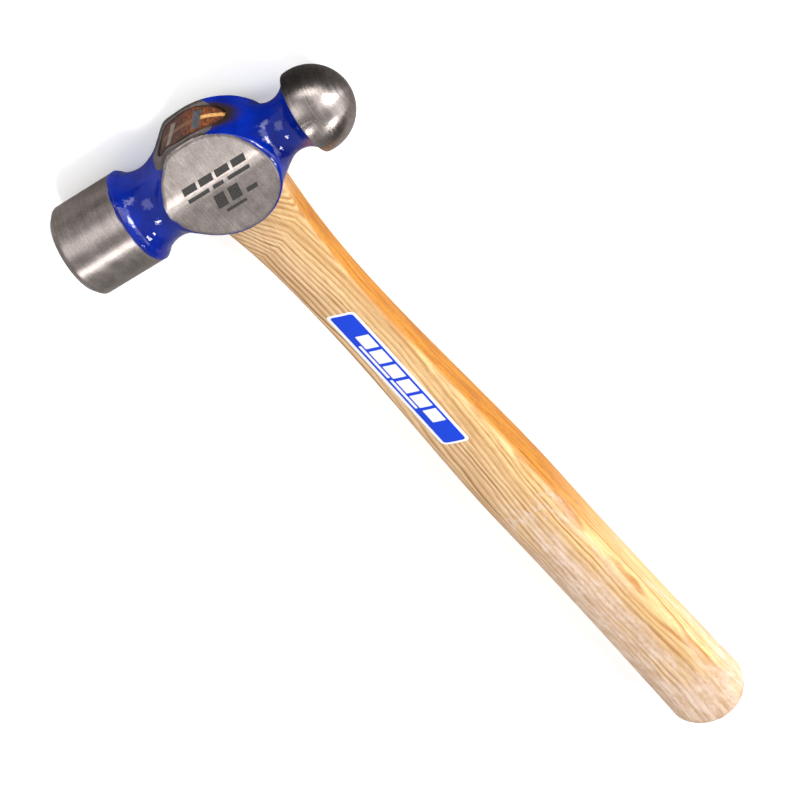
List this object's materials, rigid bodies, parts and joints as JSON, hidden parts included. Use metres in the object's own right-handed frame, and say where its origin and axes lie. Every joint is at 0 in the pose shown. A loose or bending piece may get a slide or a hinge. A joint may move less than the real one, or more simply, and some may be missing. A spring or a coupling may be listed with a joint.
{
  "type": "ball peen hammer",
  "caption": "Ball peen hammer: forged steel head with round flat poll, hemispherical peen and flat cheeks, wedged on a waisted wooden handle with a rounded butt.",
  "frame": {"origin": "centre of the flat striking face, on the axis of the head", "axes": "+X along the handle from the head to the butt, +Y along the head from the striking face to the ball, +Z out of the upper cheek; the hammer lies flat"},
  "size_m": [0.3965, 0.12, 0.0366],
  "materials": {
    "head_steel": "ground forged steel; the necks and the border of the cheeks carry glossy blue enamel",
    "handle_wood": "clear lacquered straight-grained hardwood, flame-tinted along the edges",
    "wedge_wood": "hardwood, cut flush and sealed",
    "wedge_steel": "ground flush with the top of the eye",
    "label_film": "glossy printed film, blue with a white border and plain white bars"
  },
  "bodies": {
    "root": {"head": "head_steel", "handle": "handle_wood", "wood_wedge": "wedge_wood", "steel_wedge_a": "wedge_steel", "steel_wedge_b": "wedge_steel", "label": "label_film"}
  },
  "joints": []
}
